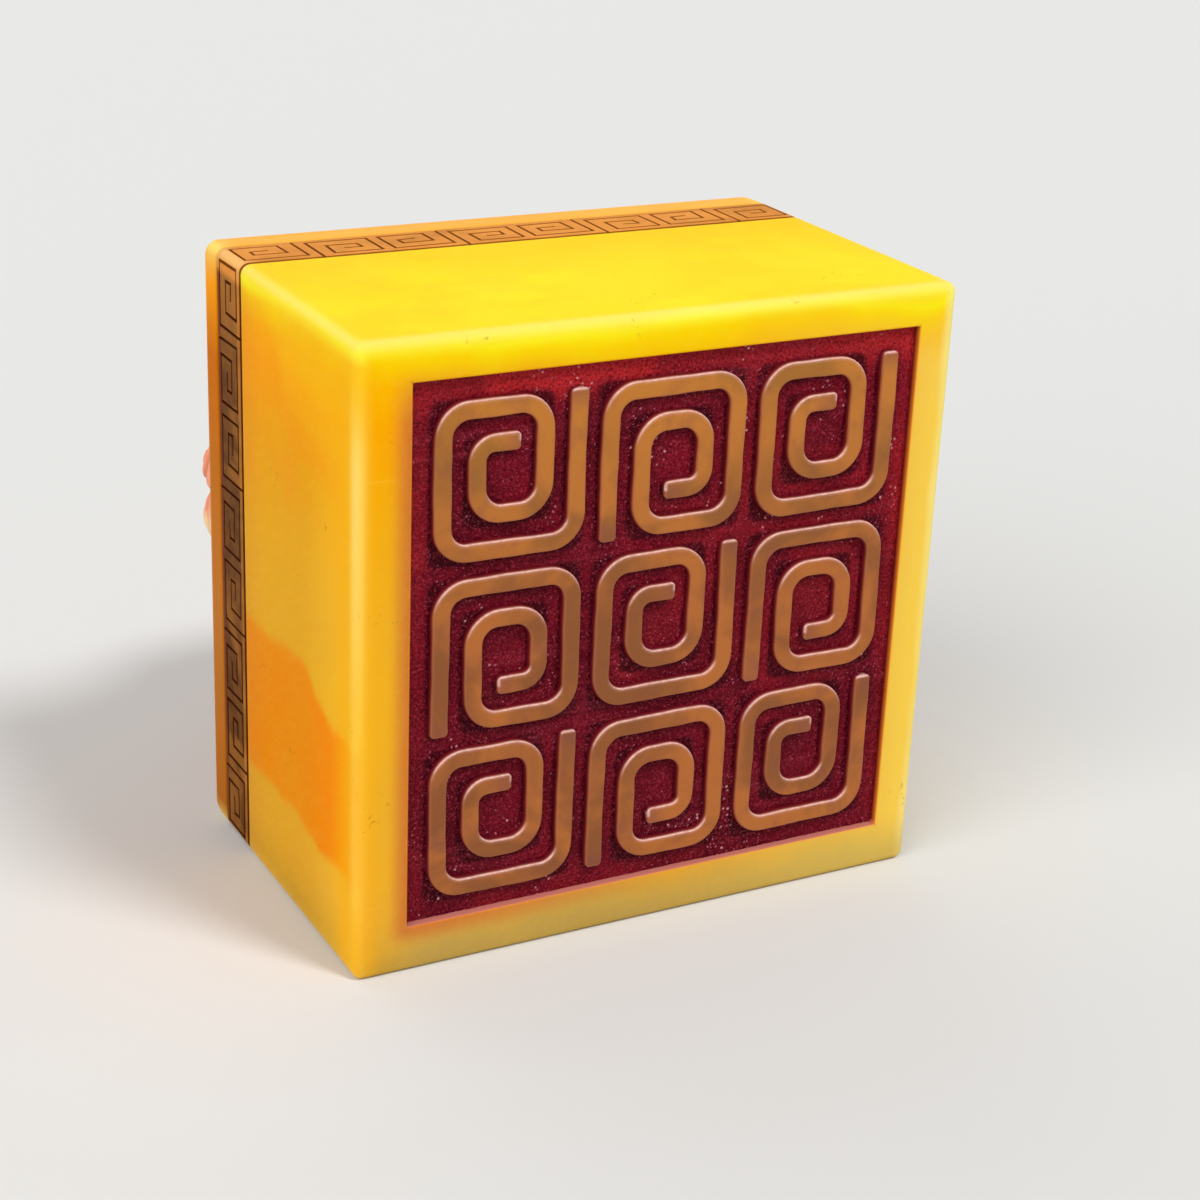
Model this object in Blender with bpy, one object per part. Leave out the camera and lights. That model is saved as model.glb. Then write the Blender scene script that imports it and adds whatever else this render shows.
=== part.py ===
"""Square seal stone lying on one of its sides, with its carved face turned to the front.

From front to rear it is a yellow stone block with the seal face, a band engraved with key
frets, a thin cap and a carved cloud knob. Two thin dark beds bond the three slabs, and dried
red paste covers the sunken ground of the seal face. Lengths are in metres and +Z is up. The
seal face looks along -Y, the stone rests on its floor side at Z = 0, and the origin is the
middle of the footprint.
"""

from math import cos, pi, radians, sin

import bmesh
import bpy
import numpy as np

# Stone slabs
FACE_WIDTH = 0.0800
FACE_HEIGHT = 0.0800
BLOCK_DEPTH = 0.0365
BAND_DEPTH = 0.0079
CAP_DEPTH = 0.0052
LONG_EDGE_RADIUS = 0.0013
FACE_EDGE_RADIUS = 0.0010
JOINT_EDGE_RADIUS = 0.0003
CAP_EDGE_RADIUS = 0.0020

# Bonding beds
BED_THICKNESS = 0.0003
BED_INSET = 0.0005
JOINT_CLEARANCE = 0.0002

# Sunken panel of the seal face
MARGIN_LEFT = 0.0068
MARGIN_RIGHT = 0.0053
MARGIN_TOP = 0.0051
MARGIN_BOTTOM = 0.0062
GROUND_DEPTH = 0.0010
PASTE_THICKNESS = 0.0003
PASTE_CLEARANCE = 0.0003

# Raised fret coils on the seal face
COILS_ACROSS = 3
COILS_UP = 3
RIB_WIDTH = 0.0022
RIB_BORDER = 0.0028
RIB_TURN_RADIUS = 0.0032
RIB_END_RADIUS = 0.0006
RIB_ROOT = 0.0006

# Key frets engraved in the band
FRETS_PER_SIDE = 8
FRET_LENGTH = 0.0082
FRET_HEIGHT = 0.0057
FRET_STEP = 0.0020
FRET_TAIL = 0.0012
FRET_END_MARGIN = 0.0013
FRET_LINE_WIDTH = 0.0004
FRET_LINE_DEPTH = 0.0004

# Cloud knob, a lobed oval tier with a smaller one on it
KNOB_LENGTH = 0.0766
KNOB_WIDTH = 0.0460
KNOB_LIFT = 0.0020
TIER_HEIGHT = 0.0150
TIER_BELLY = 0.0090
TIER_BULGE = 0.0055
LOWER_LOBES = 14
LOWER_LOBE_DEPTH = 0.0026
CROWN_LENGTH = 0.0520
CROWN_WIDTH = 0.0290
CROWN_HEIGHT = 0.0105
CROWN_BULGE = 0.0050
CROWN_DOME = 0.0015
UPPER_LOBES = 10
UPPER_LOBE_DEPTH = 0.0018

# Places along the depth
JOINT_DEPTH = BED_THICKNESS + 2 * JOINT_CLEARANCE
KNOB_HEIGHT = TIER_HEIGHT + CROWN_HEIGHT + CROWN_DOME
TOTAL_DEPTH = BLOCK_DEPTH + BAND_DEPTH + CAP_DEPTH + 2 * JOINT_DEPTH + JOINT_CLEARANCE + KNOB_HEIGHT
FACE_Y = -TOTAL_DEPTH / 2
BAND_Y = FACE_Y + BLOCK_DEPTH + JOINT_DEPTH
CAP_Y = BAND_Y + BAND_DEPTH + JOINT_DEPTH
KNOB_Y = CAP_Y + CAP_DEPTH + JOINT_CLEARANCE

# Places on the seal face
MIDDLE_Z = FACE_HEIGHT / 2
PANEL_LEFT = -FACE_WIDTH / 2 + MARGIN_LEFT
PANEL_RIGHT = FACE_WIDTH / 2 - MARGIN_RIGHT
PANEL_BOTTOM = MARGIN_BOTTOM
PANEL_TOP = FACE_HEIGHT - MARGIN_TOP
PANEL_DEPTH = GROUND_DEPTH + PASTE_THICKNESS + PASTE_CLEARANCE

# How finely round forms are divided
CORNER_STEPS = 4
RIB_TURN_STEPS = 3
KNOB_SIDES = 140
CUT_OVERRUN = 0.0010


def clear_scene():
    for thing in list(bpy.data.objects):
        bpy.data.objects.remove(thing, do_unlink=True)


def stone(name, colour, roughness):
    """Plain finish with one colour and one roughness."""
    material = bpy.data.materials.new(name)
    material.use_nodes = True
    shader = material.node_tree.nodes["Principled BSDF"]
    shader.inputs["Base Color"].default_value = (*colour, 1.0)
    shader.inputs["Roughness"].default_value = roughness
    shader.inputs["Metallic"].default_value = 0.0
    return material


def mesh_object(name, points, faces, material=None):
    """Object from points and faces, with its faces turned outwards."""
    mesh = bpy.data.meshes.new(name)
    mesh.from_pydata([tuple(point) for point in points], [], faces)
    work = bmesh.new()
    work.from_mesh(mesh)
    bmesh.ops.recalc_face_normals(work, faces=work.faces)
    work.to_mesh(mesh)
    work.free()
    if material:
        mesh.materials.append(material)
    thing = bpy.data.objects.new(name, mesh)
    bpy.context.scene.collection.objects.link(thing)
    return thing


def loft(name, rings, material=None):
    """Closed skin over equal rings, with a flat face on the first and the last."""
    rings = np.asarray(rings)
    count, size = rings.shape[:2]
    faces = [
        (k * size + i, k * size + (i + 1) % size, (k + 1) * size + (i + 1) % size, (k + 1) * size + i)
        for k in range(count - 1)
        for i in range(size)
    ]
    faces.append(tuple(range(size)))
    faces.append(tuple((count - 1) * size + i for i in range(size)))
    return mesh_object(name, rings.reshape(-1, 3), faces, material)


def cut_or_join(thing, tool, operation):
    """Adds an exact Boolean with a hidden tool."""
    tool.hide_render = True
    tool.display_type = "WIRE"
    step = thing.modifiers.new(tool.name, "BOOLEAN")
    step.operation = operation
    step.solver = "EXACT"
    step.object = tool


def rounded_ring(y, inset):
    """Rounded rectangle of the stone's cross-section at one depth, drawn in by an inset."""
    half_x = FACE_WIDTH / 2 - inset
    half_z = FACE_HEIGHT / 2 - inset
    radius = max(LONG_EDGE_RADIUS - inset, LONG_EDGE_RADIUS / 4)
    ring = []
    for corner, (sign_x, sign_z) in enumerate(((1, 1), (-1, 1), (-1, -1), (1, -1))):
        for step in range(CORNER_STEPS + 1):
            turn = pi / 2 * (corner + step / CORNER_STEPS)
            x = sign_x * (half_x - radius) + radius * cos(turn)
            z = sign_z * (half_z - radius) + radius * sin(turn)
            ring.append((x, y, MIDDLE_Z + z))
    return ring


def slab(name, y, depth, front_radius, rear_radius, material, inset=0.0):
    """Slab of the stone's cross-section with its front and rear edges rounded."""
    rings = []
    for step in range(CORNER_STEPS + 1):
        turn = pi / 2 * step / CORNER_STEPS
        rings.append(rounded_ring(y + front_radius * (1 - sin(turn)), inset + front_radius * (1 - cos(turn))))
    rings.reverse()
    for step in range(CORNER_STEPS + 1):
        turn = pi / 2 * step / CORNER_STEPS
        rings.append(
            rounded_ring(y + depth - rear_radius * (1 - sin(turn)), inset + rear_radius * (1 - cos(turn)))
        )
    if front_radius == 0:
        rings = rings[CORNER_STEPS:]
    if rear_radius == 0:
        rings = rings[: len(rings) - CORNER_STEPS]
    return loft(name, rings, material)


def rounded_path(corners, largest_radius, steps):
    """Points and left-hand normals along straight runs joined by arcs.

    An arc has the largest radius, or less where a run beside its corner is too short for it.
    """
    corners = np.asarray(corners, float)
    runs = np.diff(corners, axis=0)
    lengths = np.linalg.norm(runs, axis=1)
    ways = runs / lengths[:, None]
    lefts = np.stack([-ways[:, 1], ways[:, 0]], axis=1)
    points = [corners[0]]
    normals = [lefts[0]]
    for k in range(1, len(corners) - 1):
        radius = min(largest_radius, 0.49 * min(lengths[k - 1], lengths[k]))
        side = -np.sign(ways[k - 1] @ lefts[k])
        centre = corners[k] + (lefts[k - 1] * side - ways[k - 1]) * radius
        for step in range(steps + 1):
            turn = pi / 2 * step / steps
            normal = lefts[k - 1] * cos(turn) - ways[k - 1] * sin(turn) * side
            points.append(centre - normal * radius * side)
            normals.append(normal)
    points.append(corners[-1])
    normals.append(lefts[-1])
    return np.array(points), np.array(normals)


def rounded_end(tip, way, left, half, radius):
    """Outline of a square end with small rounded corners, from its left to its right side."""
    points = []
    for sign in (1, -1):
        centre = tip - way * radius + left * (half - radius) * sign
        turns = (0.0, pi / 4, pi / 2) if sign == 1 else (pi / 2, pi / 4, 0.0)
        points += [centre + (left * cos(turn) * sign + way * sin(turn)) * radius for turn in turns]
    return points


def rib_outline(corners, growth=0.0):
    """Outline of a raised rib along a path of square corners, grown all round by a clearance."""
    points, normals = rounded_path(corners, RIB_TURN_RADIUS, RIB_TURN_STEPS)
    half = RIB_WIDTH / 2 + growth
    head_way = np.array([normals[-1][1], -normals[-1][0]])
    foot_way = np.array([-normals[0][1], normals[0][0]])
    left = list((points + normals * half)[1:-1])
    right = list((points - normals * half)[1:-1])
    head = rounded_end(points[-1] + head_way * half, head_way, normals[-1], half, RIB_END_RADIUS)
    foot = rounded_end(points[0] + foot_way * half, foot_way, -normals[0], half, RIB_END_RADIUS)
    return np.array(left + head + right[::-1] + foot)


def prism(name, outline, near_y, far_y, material=None):
    """Outline in X and Z carried straight from one depth to another."""
    rings = [[(x, y, z) for x, z in outline] for y in (near_y, far_y)]
    return loft(name, rings, material)


def rib_pitch():
    """Spacing of the raised lines across and up, five lines to a coil."""
    across = (PANEL_RIGHT - PANEL_LEFT - 2 * RIB_BORDER - RIB_WIDTH) / (5 * COILS_ACROSS - 1)
    up = (PANEL_TOP - PANEL_BOTTOM - 2 * RIB_BORDER - RIB_WIDTH) / (5 * COILS_UP - 1)
    return across, up


def coil_paths():
    """Middle lines of the square coils, each second one turned half round."""
    across, up = rib_pitch()
    grid = ((4, 4), (4, 0), (0, 0), (0, 4), (3, 4), (3, 1), (1, 1), (1, 3), (2, 3))
    left = PANEL_LEFT + RIB_BORDER + RIB_WIDTH / 2
    bottom = PANEL_BOTTOM + RIB_BORDER + RIB_WIDTH / 2
    paths = []
    for row in range(COILS_UP):
        for column in range(COILS_ACROSS):
            turned = (row + column) % 2
            cells = [(4 - i, 4 - j) if turned else (i, j) for i, j in grid]
            paths.append([(left + (5 * column + i) * across, bottom + (5 * row + j) * up) for i, j in cells])
    return paths


def make_seal_block(material):
    """Yellow block with a sunken panel and raised coils that stand level with its border."""
    block = slab("seal_block", FACE_Y, BLOCK_DEPTH, FACE_EDGE_RADIUS, JOINT_EDGE_RADIUS, material)
    corners = [
        (PANEL_LEFT, PANEL_BOTTOM),
        (PANEL_RIGHT, PANEL_BOTTOM),
        (PANEL_RIGHT, PANEL_TOP),
        (PANEL_LEFT, PANEL_TOP),
    ]
    panel = prism("panel_cut", corners, FACE_Y - CUT_OVERRUN, FACE_Y + PANEL_DEPTH)
    cut_or_join(block, panel, "DIFFERENCE")
    for number, path in enumerate(coil_paths(), 1):
        outline = rib_outline(path)
        rib = prism(f"rib_{number}", outline, FACE_Y, FACE_Y + PANEL_DEPTH + RIB_ROOT)
        cut_or_join(block, rib, "UNION")
    return block


def make_seal_paste(material):
    """Thin layer of paste over the panel's floor, cut out round every rib."""
    corners = [
        (PANEL_LEFT + PASTE_CLEARANCE, PANEL_BOTTOM + PASTE_CLEARANCE),
        (PANEL_RIGHT - PASTE_CLEARANCE, PANEL_BOTTOM + PASTE_CLEARANCE),
        (PANEL_RIGHT - PASTE_CLEARANCE, PANEL_TOP - PASTE_CLEARANCE),
        (PANEL_LEFT + PASTE_CLEARANCE, PANEL_TOP - PASTE_CLEARANCE),
    ]
    near = FACE_Y + GROUND_DEPTH
    paste = prism("seal_paste", corners, near, near + PASTE_THICKNESS, material)
    for number, path in enumerate(coil_paths(), 1):
        outline = rib_outline(path, PASTE_CLEARANCE)
        hole = prism(f"paste_hole_{number}", outline, near - CUT_OVERRUN, near + PASTE_THICKNESS + CUT_OVERRUN)
        cut_or_join(paste, hole, "DIFFERENCE")
    return paste


def fret_line(turned):
    """Square corners of one engraved fret, in a frame that runs along and across the band."""
    length, height, step = FRET_LENGTH, FRET_HEIGHT, FRET_STEP
    line = [
        (length, height + FRET_TAIL),
        (length, 0),
        (0, 0),
        (0, height),
        (length - step, height),
        (length - step, step),
        (step, step),
        (step, height - step),
        (length - 2 * step, height - step),
    ]
    return [(length - s, height - t) if turned else (s, t) for s, t in line]


def mitred_outline(line, width):
    """Outline of a line of square corners with a constant width and square ends."""
    line = np.asarray(line, float)
    runs = np.diff(line, axis=0)
    ways = runs / np.linalg.norm(runs, axis=1)[:, None]
    lefts = np.stack([-ways[:, 1], ways[:, 0]], axis=1)
    shifts = np.vstack([lefts[:1], lefts[:-1] + lefts[1:], lefts[-1:]])
    ends = np.zeros_like(line)
    ends[0] = -ways[0]
    ends[-1] = ways[-1]
    half = width / 2
    left = line + (shifts + ends) * half
    right = line + (ends - shifts) * half
    return np.vstack([left, right[::-1]])


def make_fret_cuts():
    """Cutter with every engraved line of the band's four sides."""
    middle = np.array([0.0, BAND_Y + BAND_DEPTH / 2, MIDDLE_Z])
    rear = np.array([0.0, 1.0, 0.0])
    points, faces = [], []
    for side, outward in enumerate(((0, 0, 1), (-1, 0, 0), (0, 0, -1), (1, 0, 0))):
        outward = np.array(outward, float)
        along = np.cross(-outward, rear)
        side_length = abs(along[0]) * FACE_WIDTH + abs(along[2]) * FACE_HEIGHT
        reach = abs(outward[0]) * FACE_WIDTH / 2 + abs(outward[2]) * FACE_HEIGHT / 2
        pitch = (side_length - 2 * FRET_END_MARGIN - FRET_LENGTH) / (FRETS_PER_SIDE - 1)
        for number in range(FRETS_PER_SIDE):
            outline = mitred_outline(fret_line(number % 2), FRET_LINE_WIDTH)
            start = -side_length / 2 + FRET_END_MARGIN + number * pitch
            base = len(points)
            size = len(outline)
            for level in (reach - FRET_LINE_DEPTH, reach + CUT_OVERRUN):
                for s, t in outline:
                    points.append(middle + along * (start + s) + rear * (t - FRET_HEIGHT / 2) + outward * level)
            faces.append(tuple(base + i for i in range(size)))
            faces.append(tuple(base + size + i for i in range(size)))
            for i in range(size):
                j = (i + 1) % size
                faces.append((base + i, base + j, base + size + j, base + size + i))
    return mesh_object("fret_cuts", points, faces)


def make_fret_band(material):
    """Band slab with key frets engraved in its sides."""
    band = slab("fret_band", BAND_Y, BAND_DEPTH, JOINT_EDGE_RADIUS, JOINT_EDGE_RADIUS, material)
    cut_or_join(band, make_fret_cuts(), "DIFFERENCE")
    return band


def make_bed(name, y, material):
    """Thin dark bed that stays a little below the sides, so the joint reads as a groove."""
    return slab(name, y + JOINT_CLEARANCE, BED_THICKNESS, 0, 0, material, inset=BED_INSET)


def knob_ring(half_x, half_z, height, lobes=0, lobe_depth=0.0):
    """Oval round the knob's axis at one height over the cap, scalloped between its lobes."""
    ring = []
    for side in range(KNOB_SIDES):
        angle = 2 * pi * side / KNOB_SIDES
        drawn_in = lobe_depth * (1 - abs(sin(lobes * angle / 2)) ** 0.6)
        x = (half_x - drawn_in) * cos(angle)
        z = (half_z - drawn_in) * sin(angle)
        ring.append((x, KNOB_Y + height, MIDDLE_Z + KNOB_LIFT + z))
    return ring


def make_cloud_knob(material):
    """Lobed tier that bellies out over the cap, and a lobed crown with a low dome on it."""
    rings = []
    for degrees in (-60, -30, 0, 25, 50, 75):
        turn = radians(degrees)
        inset = TIER_BULGE * (1 - cos(turn))
        rise = (TIER_HEIGHT - TIER_BELLY) * sin(turn) if degrees > 0 else TIER_BELLY * sin(turn) / sin(radians(60))
        half_x, half_z = KNOB_LENGTH / 2 - inset, KNOB_WIDTH / 2 - inset
        rings.append(knob_ring(half_x, half_z, TIER_BELLY + rise, LOWER_LOBES, LOWER_LOBE_DEPTH))
    for degrees in (-30, 0, 30, 60, 90):
        turn = radians(degrees)
        inset = CROWN_BULGE * (1 - cos(turn))
        height = TIER_HEIGHT + CROWN_HEIGHT * (sin(turn) - sin(radians(-30))) / (1 - sin(radians(-30)))
        half_x, half_z = CROWN_LENGTH / 2 - inset, CROWN_WIDTH / 2 - inset
        rings.append(knob_ring(half_x, half_z, height, UPPER_LOBES, UPPER_LOBE_DEPTH))
    rings.append(knob_ring(half_x / 2, half_z / 2, KNOB_HEIGHT - CROWN_DOME / 4))
    rings.append(knob_ring(half_x / 8, half_z / 8, KNOB_HEIGHT))
    return loft("cloud_knob", rings, material)


def build():
    clear_scene()
    make_seal_block(stone("yellow_stone", (0.82, 0.50, 0.06), 0.35))
    make_seal_paste(stone("red_paste", (0.22, 0.012, 0.03), 0.75))
    make_bed("front_bed", FACE_Y + BLOCK_DEPTH, stone("dark_bed", (0.07, 0.035, 0.01), 0.7))
    make_fret_band(stone("salmon_stone", (0.55, 0.26, 0.10), 0.45))
    make_bed("rear_bed", BAND_Y + BAND_DEPTH, stone("brown_bed", (0.09, 0.025, 0.01), 0.7))
    slab("cap_slab", CAP_Y, CAP_DEPTH, JOINT_EDGE_RADIUS, CAP_EDGE_RADIUS, stone("orange_stone", (0.75, 0.28, 0.05), 0.4))
    make_cloud_knob(stone("rose_stone", (0.72, 0.30, 0.16), 0.42))


build()
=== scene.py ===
"""Looks of a square seal stone that lies on one side, with its carved red face to the front.

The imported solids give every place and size. The stone slabs, the raised coils, the paste on
the sunken ground and the carved knob are remade here as finer surfaces, worked out with numpy
as grids of points, and each gets a finish made of nodes.
"""

from functools import cached_property

import bpy
import numpy as np
from mathutils import Matrix, Vector


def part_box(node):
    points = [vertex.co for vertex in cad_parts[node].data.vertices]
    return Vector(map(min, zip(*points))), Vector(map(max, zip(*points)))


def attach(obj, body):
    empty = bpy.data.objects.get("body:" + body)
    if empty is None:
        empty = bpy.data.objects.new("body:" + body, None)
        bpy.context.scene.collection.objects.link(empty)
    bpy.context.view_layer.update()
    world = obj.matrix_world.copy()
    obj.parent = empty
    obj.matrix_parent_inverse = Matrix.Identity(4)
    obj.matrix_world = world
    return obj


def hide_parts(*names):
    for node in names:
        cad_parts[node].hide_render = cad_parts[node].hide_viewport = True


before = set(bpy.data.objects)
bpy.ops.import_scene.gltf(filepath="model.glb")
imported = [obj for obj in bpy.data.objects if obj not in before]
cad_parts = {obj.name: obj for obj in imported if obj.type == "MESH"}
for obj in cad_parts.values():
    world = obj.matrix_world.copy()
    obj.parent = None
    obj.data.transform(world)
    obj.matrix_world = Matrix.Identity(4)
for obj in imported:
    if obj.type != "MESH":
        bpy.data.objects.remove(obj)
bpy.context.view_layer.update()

MM = 0.001
TAU = 2 * np.pi


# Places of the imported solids

BLOCK_LOW, BLOCK_HIGH = (np.array(corner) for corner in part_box("seal_block"))
PASTE_LOW, PASTE_HIGH = (np.array(corner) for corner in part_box("seal_paste"))
BAND_LOW, BAND_HIGH = (np.array(corner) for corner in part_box("fret_band"))
CAP_LOW, CAP_HIGH = (np.array(corner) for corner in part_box("cap_slab"))
KNOB_LOW, KNOB_HIGH = (np.array(corner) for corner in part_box("cloud_knob"))

FACE_Y = BLOCK_LOW[1]
GROUND_Y = PASTE_LOW[1]
PANEL_DEPTH = GROUND_Y - FACE_Y
HALF_X = (BLOCK_HIGH[0] - BLOCK_LOW[0]) / 2
HALF_Z = (BLOCK_HIGH[2] - BLOCK_LOW[2]) / 2
MIDDLE_Z = (BLOCK_HIGH[2] + BLOCK_LOW[2]) / 2
TOP = BLOCK_HIGH[2]

PASTE_GAP = 0.3 * MM
PANEL_LEFT = PASTE_LOW[0] - PASTE_GAP
PANEL_RIGHT = PASTE_HIGH[0] + PASTE_GAP
PANEL_BOTTOM = PASTE_LOW[2] - PASTE_GAP
PANEL_TOP = PASTE_HIGH[2] + PASTE_GAP

# Sizes of the finer surfaces

LONG_EDGE_RADIUS = 1.3 * MM
FACE_EDGE_RADIUS = 1.1 * MM
JOINT_EDGE_RADIUS = 0.3 * MM
CAP_EDGE_RADIUS = 2.0 * MM
CAP_CORNER_RADIUS = 2.8 * MM
JOINT_REACH = 0.16 * MM
END_FACE_INSET = 3 * MM
END_CORNER_SHARE = 0.4
SIDE_PARTS = 48
CORNER_PARTS = 8
EDGE_ROWS = 9
BLOCK_SIDE_ROWS = 26
SLAB_SIDE_ROWS = 14
BORDER_ROWS = 14
RIM_ROWS = 5

PANEL_RIM = 0.16 * MM
PANEL_LEAN = 0.10 * MM
PANEL_CORNER_RADIUS = 0.25 * MM
PANEL_FLOOR = 0.35 * MM

RIB_WIDTH = 2.2 * MM
RIB_BORDER = 2.8 * MM
RIB_TURN_RADIUS = 3.2 * MM
RIB_END_RADIUS = 0.6 * MM
RIB_RIM_RADIUS = 0.20 * MM
RIB_DRAFT = 0.12 * MM
RIB_ROOT = 0.25 * MM
RIB_STEP = 0.45 * MM
RIB_TURN_POINTS = 13
RIB_SEED = 3
LINES_PER_COIL = 5
COILS = 3

FRETS_PER_SIDE = 8
FRET_LENGTH = 8.2 * MM
FRET_HEIGHT = 5.7 * MM
FRET_STEP = 2.0 * MM
FRET_TAIL = 1.2 * MM
FRET_END_MARGIN = 1.3 * MM
FRET_LINE_WIDTH = 0.46 * MM
FRET_LINE_DEPTH = 0.42 * MM
FRET_LINE_VARIES = (0.85, 1.12)
FRET_BOTTOM_SHARE = 0.16
CUTTER_REACH = 0.3 * MM
FRET_SLIP = 0.11 * MM
FRET_SEED = 5

PASTE_ROWS = 284
PASTE_COLUMNS = 280
PASTE_HEIGHT = 0.05 * MM
PASTE_SEED = 11

# Finish colours on the 0 to 255 screen scale, some of them by height above the stone's foot

# The ramp's lowest stops are darker, painted shade at the foot, and its stop at 78.5 mm is brighter, a
# painted highlight under the top edges.
STONE_BY_HEIGHT = (
    (0.0000, (188, 142, 44)),
    (0.0030, (222, 166, 42)),
    (0.0080, (236, 174, 48)),
    (0.0450, (240, 177, 38)),
    (0.0620, (246, 173, 12)),
    (0.0690, (255, 168, 0)),
    (0.0740, (255, 184, 0)),
    (0.0773, (255, 216, 6)),
    (0.0785, (255, 236, 22)),
    (0.0797, (255, 224, 28)),
)
GOLD = (255, 186, 0)
MARIGOLD = (255, 178, 0)
AMBER = (240, 172, 46)
STRAW = (250, 210, 84)
SHADED_STRAW = (184, 158, 90)
ORANGE = (248, 134, 0)
PALE_EDGE = (255, 228, 92)
CREAM = (255, 238, 160)
RUST = (204, 108, 54)
WALL_RED = (120, 22, 24)
LIT_WALL_PINK = (196, 116, 104)
WALL_ORANGE = (222, 124, 44)
PIT_BROWN = (150, 92, 22)
DEEP_OCHRE = (204, 136, 0)
# Colours of the painted highlights along the edges, by height.
EDGE_BY_HEIGHT = (
    (0.0000, (255, 206, 84)),
    (0.0250, (255, 208, 62)),
    (0.0650, (255, 226, 92)),
    (0.0775, (255, 238, 84)),
    (0.0788, (255, 255, 64)),
    (0.0797, (255, 214, 64)),
)
CRIMSON = (128, 13, 34)
SCARLET = (194, 38, 40)
MAROON = (84, 6, 22)
RIB_SHADOW_AND_MOTTLE_DARK = (44, 0, 10)
PASTE_ROSE = (172, 58, 74)
PASTE_GRAIN = (206, 104, 124)
GLINT = (244, 180, 184)
RIB_AMBER = (180, 106, 50)
RIB_OCHRE = (141, 84, 46)
RIB_DUN = (134, 74, 62)
RIB_HIGHLIGHT_ROSE = (240, 190, 182)
RIB_BRICK = (168, 96, 70)
SALMON = (233, 151, 62)
SALMON_DEEP = (210, 127, 42)
PEACH = (255, 200, 124)
TAN = (90, 50, 8)
INK_BROWN = (64, 16, 5)
SEAM_RED = (92, 22, 8)
BED_TAN = (214, 140, 40)
FRONT_BED_BROWN = (52, 34, 10)
REAR_BED_BROWN = (74, 26, 8)
INK_TAN = (128, 64, 22)
CAP_BY_HEIGHT = (
    (0.000, (164, 94, 16)),
    (0.030, (188, 114, 38)),
    (0.050, (190, 108, 18)),
    (0.066, (200, 106, 0)),
    (0.075, (250, 154, 4)),
    (0.0792, (255, 184, 76)),
)
CAP_RUST = (226, 120, 30)
CAP_EDGE_HIGHLIGHT = (255, 226, 114)
CAP_REAR_HIGHLIGHT = (246, 166, 88)
KNOB_ROSE = (255, 214, 166)
KNOB_BLUSH = (246, 158, 124)
KNOB_CUT = (120, 52, 22)
FLOOR_GREY = (224, 224, 222)


def linear(colour):
    """Screen colour turned into linear light, with full alpha."""
    part = np.array(colour) / 255
    light = np.where(part <= 0.04045, part / 12.92, ((part + 0.055) / 1.055) ** 2.4)
    return (*light.tolist(), 1.0)


# Meshes

def add_object(name, data):
    """New object with its data, put in the scene."""
    thing = bpy.data.objects.new(name, data)
    bpy.context.scene.collection.objects.link(thing)
    return thing


def mesh_piece(name, points, quads, caps=(), values=None, sharp=35):
    """Object from arrays of points and quads, with flat end faces and values for its points."""
    loops = [quads.reshape(-1)] + [np.asarray(cap) for cap in caps]
    totals = np.concatenate([np.full(len(quads), 4), [len(cap) for cap in caps]]).astype(np.int32)
    corners = np.concatenate(loops).astype(np.int32)
    starts = np.concatenate([[0], np.cumsum(totals)[:-1]]).astype(np.int32)
    mesh = bpy.data.meshes.new(name)
    mesh.vertices.add(len(points))
    mesh.vertices.foreach_set("co", np.asarray(points, np.float32).reshape(-1))
    mesh.loops.add(len(corners))
    mesh.loops.foreach_set("vertex_index", corners)
    mesh.polygons.add(len(totals))
    mesh.polygons.foreach_set("loop_start", starts)
    mesh.polygons.foreach_set("loop_total", totals)
    mesh.update(calc_edges=True)
    mesh.validate()
    for key, array in (values or {}).items():
        layer = mesh.attributes.new(key, "FLOAT", "POINT")
        layer.data.foreach_set("value", np.asarray(array, np.float32).reshape(-1))
    mesh.shade_smooth()
    mesh.set_sharp_from_angle(angle=np.radians(sharp))
    return add_object(name, mesh)


def grid_quads(rows, columns, wrap):
    """Corner numbers of the quads of a grid, which may wrap round along its columns."""
    across = columns if wrap else columns - 1
    row, column = np.meshgrid(np.arange(rows - 1), np.arange(across), indexing="ij")
    after = (column + 1) % columns
    here, beyond = row * columns, (row + 1) * columns
    return np.stack([here + column, here + after, beyond + after, beyond + column], axis=-1).reshape(-1, 4)


def signed_volume(points, quads):
    """Volume of a closed skin of quads, below nothing if it faces inwards."""
    a, b, c, d = (points[quads[:, k]] for k in range(4))
    return (np.einsum("ij,ij->", a, np.cross(b, c)) + np.einsum("ij,ij->", a, np.cross(c, d))) / 6


def closed_tube(rings):
    """Points, quads and two flat end faces over rings of equal length, facing outwards."""
    rows, columns = rings.shape[:2]
    points = rings.reshape(-1, 3)
    quads = grid_quads(rows, columns, True)
    first, last = np.arange(columns)[::-1], (rows - 1) * columns + np.arange(columns)
    if signed_volume(points - points.mean(axis=0), quads) < 0:
        quads, first, last = quads[:, ::-1], first[::-1], last[::-1]
    return points, quads, (first, last)


def tube_piece(name, rings, values=None, sharp=35):
    """Object over rings of equal length, closed by a flat face at each end."""
    return mesh_piece(name, *closed_tube(rings), values, sharp)


def smooth_step(value, low, high):
    """Nothing below the low end, one above the high end, and an even rise between them."""
    part = np.clip((value - low) / (high - low), 0, 1)
    return part * part * (3 - 2 * part)


def value_noise(random, shape, cells):
    """Smooth random field between -1 and 1, from a coarse random grid of so many cells."""
    coarse = random.uniform(-1, 1, (cells[0] + 2, cells[1] + 2))
    row = np.linspace(0, cells[0], shape[0])
    column = np.linspace(0, cells[1], shape[1])
    i, j = row.astype(int), column.astype(int)
    a = (row - i)[:, None]
    b = (column - j)[None, :]
    a, b = a * a * (3 - 2 * a), b * b * (3 - 2 * b)
    near = coarse[i][:, j] * (1 - b) + coarse[i][:, j + 1] * b
    far = coarse[i + 1][:, j] * (1 - b) + coarse[i + 1][:, j + 1] * b
    return near * (1 - a) + far * a


# Stone slabs

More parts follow.
